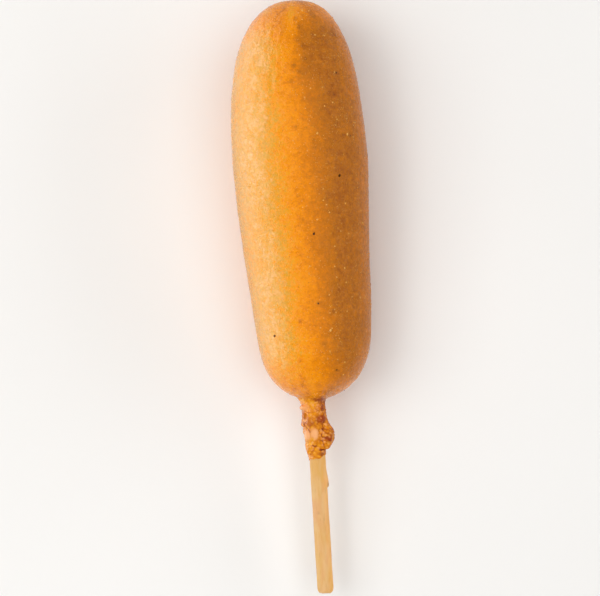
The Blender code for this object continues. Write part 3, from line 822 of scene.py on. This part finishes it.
def stick_material():
    m = Nodes("stick_birch")
    grain = m.noise(0.50, 3.0, 0.6, 0.4, stretch=(1.0, 0.035, 1.0))
    broad = m.noise(2.6, 2.0, 0.5, 0.4, stretch=(1.0, 0.16, 1.0))
    blotch = m.noise(4.5, 2.0, 0.5, 0.2, (0.1, 0.6, 0.3), stretch=(1.0, 0.42, 1.0))
    colour = m.ramp(m.math("ADD", m.math("MULTIPLY", grain, 0.35), m.math("MULTIPLY", broad, 0.65)), (
        (0.30, (0.695, 0.365, 0.080)),
        (0.45, (0.740, 0.410, 0.115)),
        (0.60, (0.765, 0.450, 0.158)),
        (0.78, (0.785, 0.490, 0.220)),
    ))
    colour = m.mix(m.span(blotch, 0.38, 0.62, 0.0, 0.85), colour, (0.770, 0.405, 0.185))
    colour = m.mix(m.span(m.noise(1.7, 2.0, 0.5, 0.3, (0.5, 0.3, 0.8), stretch=(1.0, 0.30, 1.0)), 0.42, 0.64, 0.0, 0.7), colour, (0.80, 0.50, 0.225))
    # painted light on the stick's right side and painted shade on its left, evening out the light that falls from the
    # left
    colour = m.mix(m.attribute("right"), colour, m.mix(1.0, colour, (1.20, 1.12, 0.93), "MULTIPLY"))
    colour = m.mix(m.attribute("left"), colour, m.mix(1.0, colour, (0.93, 0.945, 0.93), "MULTIPLY"))
    # open pores of the wood
    pore = m.noise(0.30, 1.0, 0.5, 0.0, (0.4, 0.2, 0.9), stretch=(1.0, 0.06, 1.0))
    colour = m.mix(m.span(pore, 0.66, 0.74, 0.0, 0.30), colour, (0.50, 0.24, 0.075))
    # grease from the fryer, drawn up to the batter
    colour = m.mix(m.math("MULTIPLY", m.attribute("greasy"), 0.5), colour, (0.755, 0.395, 0.120))
    colour = m.mix(m.attribute("spot"), colour, m.mix(m.span(m.noise(0.4, 2.0), 0.35, 0.65, 0.0, 1.0), (0.40, 0.16, 0.07), (0.56, 0.27, 0.14)))
    m.link(colour, m.shader.inputs["Base Color"])
    m.link(m.span(broad, 0.3, 0.7, 0.52, 0.68), m.shader.inputs["Roughness"])
    m.shader.inputs["Specular IOR Level"].default_value = 0.30
    fibre = m.noise(0.22, 2.0, 0.6, 0.0, stretch=(1.0, 0.03, 1.0))
    m.link(m.bump(m.math("ADD", m.math("MULTIPLY", grain, 0.6), m.math("MULTIPLY", fibre, 0.4)), 0.05, 0.7), m.shader.inputs["Normal"])
    return m.material


def speck_material(name, low, high, rough, size=0.4, level=0.34):
    m = Nodes(name)
    tone = m.math("ADD", m.math("MULTIPLY", m.noise(size, 2.0, 0.6), 0.35), m.math("MULTIPLY", m.attribute("own"), 0.65))
    m.link(m.ramp(tone, ((0.18, low), (0.80, high))), m.shader.inputs["Base Color"])
    m.link(m.span(m.noise(size * 1.7, 1.0), 0.3, 0.7, rough - 0.06, rough + 0.1), m.shader.inputs["Roughness"])
    m.shader.inputs["Specular IOR Level"].default_value = level
    m.link(m.bump(m.noise(size * 0.5, 2.0, 0.6), 0.04, 0.8), m.shader.inputs["Normal"])
    return m.material


def grit_material():
    """Half-sunk grains: the crust's own tone where they sit, lighter by each grain's own share."""
    m = Nodes("meal_grains")
    tone = m.math("ADD", m.attribute("brown_and_shade"), m.span(m.noise(0.5, 1.0), 0.3, 0.7, -0.06, 0.06))
    colour = m.ramp(m.math("MULTIPLY", tone, 0.75), TONES)
    colour = m.mix(m.span(m.attribute("own"), 0.0, 1.0, 0.08, 0.85), colour, (0.94, 0.53, 0.13))
    m.link(colour, m.shader.inputs["Base Color"])
    m.link(m.span(m.noise(0.7, 1.0), 0.3, 0.7, 0.24, 0.38), m.shader.inputs["Roughness"])
    m.shader.inputs["Specular IOR Level"].default_value = 0.5
    m.link(m.bump(m.noise(0.2, 2.0, 0.6), 0.03, 0.8), m.shader.inputs["Normal"])
    return m.material


# ------------------------------------------------------------------ small things
def blob_shape(level):
    """Points and triangles of a unit ball made by halving an octahedron's edges."""
    pts = [(1, 0, 0), (-1, 0, 0), (0, 1, 0), (0, -1, 0), (0, 0, 1), (0, 0, -1)]
    tris = [(0, 2, 4), (2, 1, 4), (1, 3, 4), (3, 0, 4), (2, 0, 5), (1, 2, 5), (3, 1, 5), (0, 3, 5)]
    for _ in range(level):
        seen, out = {}, []

        def middle(a, b):
            key = (min(a, b), max(a, b))
            if key not in seen:
                v = np.array(pts[a], float) + np.array(pts[b], float)
                pts.append(tuple(v / np.linalg.norm(v)))
                seen[key] = len(pts) - 1
            return seen[key]

        for a, b, c in tris:
            ab, bc, ca = middle(a, b), middle(b, c), middle(c, a)
            out += [(a, ab, ca), (ab, b, bc), (ca, bc, c), (ab, bc, ca)]
        tris = out
    return np.array(pts, float), np.array(tris, int)


def scatter(name, spots, rng, level=1, wobble=0.22):
    """One mesh of many uneven lumps. spots: (point, normal, (long, wide, high) half sizes in mm, sink, own 0..1)."""
    unit, tris = blob_shape(level)
    all_points, all_faces, own = [], [], []
    for number, (point, normal, sizes, sink, share) in enumerate(spots):
        normal = np.asarray(normal, float) / np.linalg.norm(normal)
        turn = rng.uniform(0, 2 * math.pi)
        ref = np.array([1.0, 0, 0]) if abs(normal[0]) < 0.8 else np.array([0, 1.0, 0])
        u = np.cross(normal, ref)
        u /= np.linalg.norm(u)
        v = np.cross(normal, u)
        u, v = u * math.cos(turn) + v * math.sin(turn), v * math.cos(turn) - u * math.sin(turn)
        shape = unit * (1.0 + wobble * rng.standard_normal(len(unit)) * 0.5)[:, None]
        place = shape[:, :1] * sizes[0] * u + shape[:, 1:2] * sizes[1] * v + shape[:, 2:] * sizes[2] * normal
        all_points.append(point + normal * sink + place)
        all_faces.append(tris + number * len(unit))
        own.append(np.full(len(unit), share))
    thing = new_mesh(name, to_model(np.vstack(all_points)), np.vstack(all_faces).tolist())
    attribute(thing.data, "own", np.concatenate(own))
    return thing, len(unit)


# ------------------------------------------------------------------ stick
def build_stick():
    sides = 48
    s = np.concatenate([
        np.array([0.0, 0.03, 0.12, 0.30, 0.58, 0.95]),
        np.arange(1.4, 44.0, 0.45),
        np.array([60.0, 100.0, 133.0, 136.5, 140.0]),
    ])
    r = np.interp(s, (0.0, 0.03, 0.12, 0.30, 0.58, 0.95, 1.4, 133.0, 140.0), (1.25, 1.55, 1.86, 2.10, 2.26, 2.34, STICK_R, STICK_R, STICK_POINT_R))
    ang = 2 * math.pi * np.arange(sides) / sides
    grid_s, grid_a = np.meshgrid(s, ang, indexing="ij")
    grid_r = np.repeat(r[:, None], sides, 1)
    p = np.stack([grid_r * np.cos(grid_a), grid_s, grid_r * np.sin(grid_a)], -1).reshape(-1, 3)
    lined = p * np.array([1.0, 0.05, 1.0])
    shown = np.repeat(s < 44.0, sides)
    rough = 0.030 * soft_noise(lined, 0.8, 201) + 0.040 * soft_noise(p * np.array([1, 0.5, 1]), 1.5, 207) + 0.020 * soft_noise(p, 0.6, 209)
    nicks = -0.10 * np.maximum(0.0, soft_noise(p, 1.9, 213) - 0.45)
    out = np.stack([np.cos(grid_a), np.zeros_like(grid_a), np.sin(grid_a)], -1).reshape(-1, 3)
    near_end = step(-p[:, 1], -2.0, 0.2)
    p = p + out * ((rough + nicks) * shown * (1 + 1.2 * near_end))[:, None]
    # the end grain is uneven, and stands a little out
    inward = 1.0 - step(np.hypot(p[:, 0], p[:, 2]), 1.5, 2.5)
    p[:, 1] -= near_end * (0.25 + 0.20 * inward + 0.22 * soft_noise(p, 1.2, 211)) * shown
    # a splinter swells the right edge and ends in a dark scab
    swell = np.where(p[:, 1] > 31.25, 1.0 - step(p[:, 1], 31.6, 37.0), step(p[:, 1], 30.75, 31.25))
    beside = bell(ang, 0.0, 0.75) + bell(ang, 2 * math.pi, 0.75)
    p = p + out * (0.52 * swell * np.tile(beside, len(s)))[:, None]
    faces = []
    for i in range(len(s) - 1):
        k = np.arange(sides)
        kk = (k + 1) % sides
        faces += np.stack([i * sides + k, (i + 1) * sides + k, (i + 1) * sides + kk, i * sides + kk], 1).tolist()
    first, last = len(p), len(p) + 1
    p = np.vstack([p, [[0.0, -0.50, 0.0], [0.0, STICK_LENGTH, 0.0]]])
    n = (len(s) - 1) * sides
    faces += [[first, k, (k + 1) % sides] for k in range(sides)]
    faces += [[last, n + (k + 1) % sides, n + k] for k in range(sides)]
    stick = new_mesh("stick_wood", to_model(p), faces)
    greasy = step(p[:, 1], 30.0, 41.0) * 0.7
    scab = bell(p[:, 1], 31.6, 0.75) * step(p[:, 0], 2.0, 2.7) * bell(p[:, 2], 0.2, 1.3)
    spot = 0.45 * np.exp(-(((p[:, 1] - 23.6) / 0.35) ** 2 + ((p[:, 0] + 0.7) / 0.4) ** 2)) * (p[:, 2] > 0)
    attribute(stick.data, "greasy", greasy)
    # masks of the stick's right and left sides, for its painted light and painted shade
    attribute(stick.data, "right", step(p[:, 0], 0.4, 2.2))
    attribute(stick.data, "left", step(-p[:, 0], 0.2, 1.8))
    attribute(stick.data, "spot", np.clip(spot + 0.9 * scab, 0, 1))
    return stick


# ------------------------------------------------------------------ build
crust, skin_points, skin_normals, skin_faces, skin_brown_and_shade, skin_across = build_crust()
crust.data.materials.append(crust_material())
stick = build_stick()
stick.data.materials.append(stick_material())

rng = np.random.default_rng(20260413)
seen_s, seen_t = seen(skin_points)


def skin_spots(count, least_s, most_s, seed):
    """Places on the crust, spread by area and gathered in loose drifts: point, normal, tone."""
    pick = np.random.default_rng(seed)
    f = np.array([q[:3] for q in skin_faces], int)
    p = skin_points
    area = np.linalg.norm(np.cross(p[f[:, 1]] - p[f[:, 0]], p[f[:, 2]] - p[f[:, 0]]), axis=1)
    middle = p[f].mean(1)
    area = area * ((middle[:, 1] > least_s) & (middle[:, 1] < most_s))
    area = area * (middle[:, 2] > table_height(middle[:, 1]) + 0.9)
    area = area * (np.hypot(middle[:, 0], middle[:, 2]) > 2.5)
    area = area * (0.12 + step(layered(middle, 5.0, 2, seed + 300), -0.25, 0.55))
    area = area * (0.22 + 0.78 * step(skin_across[f[:, 0]], -0.62, -0.30)) * (1.0 + 1.2 * step(middle[:, 1], 148.0, 160.0))
    chosen = pick.choice(len(f), size=count, replace=False, p=area / area.sum())
    return zip(middle[chosen], skin_normals[f[chosen, 0]], skin_brown_and_shade[f[chosen, 0]])


def nearest_top(s, t):
    """The shown surface point at this place, its normal and its tone."""
    d2 = (seen_s - s) ** 2 + (seen_t - t) ** 2 + np.where(skin_points[:, 2] < -1, 1e6, 0)
    i = int(np.argmin(d2))
    return skin_points[i], skin_normals[i], skin_brown_and_shade[i]


# grains of meal, half sunk in the batter
spots, tones = [], []
for place, out, tone in skin_spots(4300, BASE + 1, 173.6, 5):
    big = rng.uniform()
    size = 0.10 + 0.07 * rng.uniform() if big < 0.90 else 0.17 + 0.09 * rng.uniform()
    share = rng.uniform() ** 1.5 * (0.7 if big < 0.90 else 0.95)
    spots.append((place, out, (size * rng.uniform(0.9, 1.4), size, size * 0.7), size * 0.10, share))
    tones.append(tone)
for s, t, size in BRIGHT:
    place, out, tone = nearest_top(s, t)
    spots.append((place, out, (size * 1.1, size * 0.9, size * 0.65), size * 0.05, 0.9))
    tones.append(tone)
grit, per_grain = scatter("meal_grit", spots, rng)
attribute(grit.data, "brown_and_shade", np.repeat(tones, per_grain))
grit.data.materials.append(grit_material())

# burnt specks
spots = []
for s, t, size in FLECKS:
    place, out, _ = nearest_top(s, t)
    spots.append((place, out, (size * 1.1, size * 0.85, size * 0.5), size * 0.05, rng.uniform()))
for place, out, _ in skin_spots(26, BASE + 4, 171, 9):
    if place[2] < -3:
        size = rng.uniform(0.22, 0.42)
        spots.append((place, out, (size * 1.2, size, size * 0.5), size * 0.05, rng.uniform()))
burnt, _ = scatter("burnt_specks", spots, rng, level=2, wobble=0.3)
burnt.data.materials.append(speck_material("burnt_meal", (0.045, 0.013, 0.003), (0.17, 0.045, 0.006), 0.6, level=0.2))

# crumbs that stand out of the outline
spots = []
for s, t, size, share in ((89.8, 19.0, 0.42, 0.2), (58.9, 9.3, 0.42, 0.1), (168.5, 12.0, 0.36, 0.9)):
    d2 = (skin_points[:, 1] - s) ** 2 + (skin_points[:, 0] - t) ** 2 + skin_points[:, 2] ** 2
    i = int(np.argmin(d2))
    spots.append((skin_points[i], skin_normals[i], (size, size * 0.8, size * 0.9), size * 0.40, share))
crumbs, _ = scatter("edge_crumbs", spots, rng, level=2, wobble=0.3)
crumbs.data.materials.append(speck_material("dark_crumb", (0.12, 0.045, 0.020), (0.55, 0.24, 0.09), 0.55))

for piece, part, slot in ((crust, "crust", "crust"), (stick, "stick", "stick")):
    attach(piece, "root")
    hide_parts(part)
for piece in (grit, burnt, crumbs):
    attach(piece, "root")

# ------------------------------------------------------------------ floor, light, camera
def floor_plane():
    half, z = 3.0, -0.00002
    n = 24
    pts, faces = [], []
    for i in range(n + 1):
        for j in range(n + 1):
            pts.append((half * (2 * i / n - 1), half * (2 * j / n - 1), z))
    for i in range(n):
        for j in range(n):
            a = i * (n + 1) + j
            faces.append([a, a + n + 1, a + n + 2, a + 1])
    floor = new_mesh("floor", pts, faces)
    m = Nodes("floor_pale")
    tone = m.noise(180.0, 2.0)
    m.link(m.ramp(tone, ((0.3, (0.90, 0.89, 0.875)), (0.7, (0.93, 0.92, 0.905)))), m.shader.inputs["Base Color"])
    m.shader.inputs["Roughness"].default_value = 0.7
    floor.data.materials.append(m.material)
    floor.visible_glossy = False
    return floor


floor_plane()


def area_light(name, place, target, size_x, size_y, power, colour=(1, 1, 1), glossy=True, diffuse=True):
    data = bpy.data.lights.new(name, "AREA")
    data.shape = "RECTANGLE"
    data.size, data.size_y = size_x, size_y
    data.energy = power
    data.color = colour
    light = bpy.data.objects.new(name, data)
    bpy.context.scene.collection.objects.link(light)
    light.location = place
    light.rotation_euler = (Vector(target) - Vector(place)).to_track_quat("-Z", "Y").to_euler()
    light.visible_glossy = glossy
    light.visible_diffuse = diffuse
    light.visible_camera = False
    return light


def radiance_power(radiance, size_x, size_y):
    """The power that gives a rectangular light this radiance."""
    return radiance * math.pi * size_x * size_y


# soft boxes for the even light; what the crust mirrors is the studio round it
key_angle = math.radians(36)
key_place = (-0.95 * math.sin(key_angle), 0.10, 0.95 * math.cos(key_angle))
area_light("key", key_place, (0, 0, 0.015), 0.6, 0.6, radiance_power(2.71, 0.6, 0.6), (1.0, 0.99, 0.97), glossy=False)
area_light("fill", (0, 0, 1.3), (0, 0, 0), 1.8, 1.8, radiance_power(1.50, 1.8, 1.8), (1.0, 0.995, 0.985), glossy=False)
area_light("right", (1.0, 0, 0.35), (0, 0, 0.02), 1.2, 0.5, radiance_power(2.5, 1.2, 0.5), (1.0, 0.995, 0.985), glossy=False)

area_light("near", (-0.55, -0.85, 0.25), (0, 0, 0.02), 0.8, 0.5, radiance_power(2.4, 0.8, 0.5), (1.0, 0.995, 0.985), glossy=False)
area_light("far", (-0.20, 1.0, 0.25), (0, 0, 0.02), 0.8, 0.5, radiance_power(1.5, 0.8, 0.5), (1.0, 0.995, 0.985), glossy=False)

area_light("wall_low", (-1.0, 0.30, 0.155), (0, 0.30, 0.155), 1.3, 0.31, radiance_power(2.2, 1.3, 0.31), (1.0, 0.965, 0.91), diffuse=False)
area_light("wall_near", (-1.0, -0.60, 0.155), (0, -0.60, 0.155), 0.5, 0.31, radiance_power(1.2, 0.5, 0.31), (1.0, 0.965, 0.91), diffuse=False)
area_light("wall_top", (-1.0, 0.20, 0.70), (0, 0.20, 0.70), 1.4, 0.14, radiance_power(1.2, 1.4, 0.14), (1.0, 0.965, 0.91), diffuse=False)
area_light("wall_high", (-1.0, 0.20, 0.47), (0, 0.20, 0.47), 1.4, 0.32, radiance_power(2.8, 1.4, 0.32), (1.0, 0.965, 0.91), diffuse=False)


class World:
    """The studio round the object: bright low down on the left and at both ends, dark low on the right."""

    def __init__(self):
        self.world = bpy.data.worlds.new("studio")
        self.world.use_nodes = True
        self.nodes, self.links = self.world.node_tree.nodes, self.world.node_tree.links

    def math(self, op, a, b=None):
        made = self.nodes.new("ShaderNodeMath")
        made.operation = op
        for i, v in enumerate((a, b)):
            if v is None:
                continue
            if isinstance(v, float):
                made.inputs[i].default_value = v
            else:
                self.links.new(v, made.inputs[i])
        return made.outputs[0]

    def table(self, value, low, high, stops):
        """Reads a list of (value, level) stops."""
        span = self.nodes.new("ShaderNodeMapRange")
        self.links.new(value, span.inputs["Value"])
        span.inputs["From Min"].default_value, span.inputs["From Max"].default_value = low, high
        ramp = self.nodes.new("ShaderNodeValToRGB")
        elements = ramp.color_ramp.elements
        while len(elements) < len(stops):
            elements.new(0.5)
        for element, (at, level) in zip(elements, stops):
            element.position = (at - low) / (high - low)
            element.color = (level, level, level, 1.0)
        self.links.new(span.outputs["Result"], ramp.inputs["Fac"])
        return ramp.outputs["Color"]


AROUND = ((-1.0, 1.0), (-0.92, 1.0), (-0.8, 0.5), (-0.6, 0.18), (-0.35, 0.06), (0.0, 0.0), (1.0, 0.0))  # by the direction's share away from the left
HEIGHTS = ((-1.0, 0.06), (-0.87, 0.12), (-0.7, 0.28), (-0.5, 0.54), (-0.2, 1.0), (0.0, 1.0), (0.06, 0.0), (1.0, 0.0))  # by its height
BELOW = ((-1.0, 0.75), (-0.73, 0.72), (-0.57, 0.50), (-0.34, 0.26), (-0.10, 0.12), (0.1, 0.03), (1.0, 0.03))  # the pale table, dimmer far off
SIDES = ((-1.0, 1.35), (-0.93, 1.35), (-0.6, 1.1), (-0.37, 0.95), (-0.14, 0.60), (0.0, 0.35), (0.14, 0.60), (0.37, 0.85), (0.6, 0.85), (0.93, 1.0), (1.0, 1.0))  # by its share of Y
BAND, LEFT_TURN = 3.45, math.radians(15)
studio = World()
direction = studio.nodes.new("ShaderNodeTexCoord").outputs["Generated"]
split = studio.nodes.new("ShaderNodeSeparateXYZ")
studio.links.new(direction, split.inputs["Vector"])
flat = studio.math("SQRT", studio.math("MAXIMUM", studio.math("SUBTRACT", 1.0, studio.math("MULTIPLY", split.outputs["Z"], split.outputs["Z"])), 0.0001))
away = studio.math("SUBTRACT", studio.math("MULTIPLY", split.outputs["X"], math.cos(LEFT_TURN)), studio.math("MULTIPLY", split.outputs["Y"], math.sin(LEFT_TURN)))
around = studio.table(studio.math("DIVIDE", away, flat), -1.0, 1.0, AROUND)
heights = studio.table(split.outputs["Z"], -1.0, 1.0, HEIGHTS)
below = studio.table(split.outputs["Z"], -1.0, 1.0, BELOW)
sides = studio.table(studio.math("DIVIDE", split.outputs["Y"], flat), -1.0, 1.0, SIDES)
level = studio.math("ADD", studio.math("MULTIPLY", studio.math("MULTIPLY", around, heights), BAND), studio.math("MULTIPLY", below, sides))
tint = studio.nodes.new("ShaderNodeMix")
tint.data_type, tint.blend_type = "RGBA", "MULTIPLY"
tint.inputs["Factor"].default_value = 1.0
studio.links.new(level, tint.inputs[6])
tint.inputs[7].default_value = (1.0, 0.975, 0.94, 1.0)
studio.links.new(tint.outputs[2], studio.nodes["Background"].inputs["Color"])
studio.world.cycles.sampling_method = "NONE"
bpy.context.scene.world = studio.world

# the camera looks straight down, rolled so that the stick leans as it is seen
PIXEL = 0.2935 * MM
ROLL = math.radians(3.503)
DISTANCE = 0.95
aim = STICK_LINE @ Vector((-2.27, 86.97 / math.cos(TILT), 0.0))
camera_data = bpy.data.cameras.new("camera")
camera_data.type = "PERSP"
camera_data.sensor_width = 36.0
camera_data.lens = 36.0 * (DISTANCE - 0.018) / (600 * PIXEL)
camera_data.clip_start, camera_data.clip_end = 0.01, 20.0
camera_data.dof.use_dof = False
camera = bpy.data.objects.new("camera", camera_data)
bpy.context.scene.collection.objects.link(camera)
camera.location = (aim.x, aim.y, DISTANCE)
camera.rotation_euler = (0.0, 0.0, -ROLL)
bpy.context.scene.camera = camera

scene = bpy.context.scene
scene.view_settings.view_transform = "Standard"
scene.view_settings.look = "None"
scene.view_settings.exposure = 0.0
scene.view_settings.gamma = 1.0
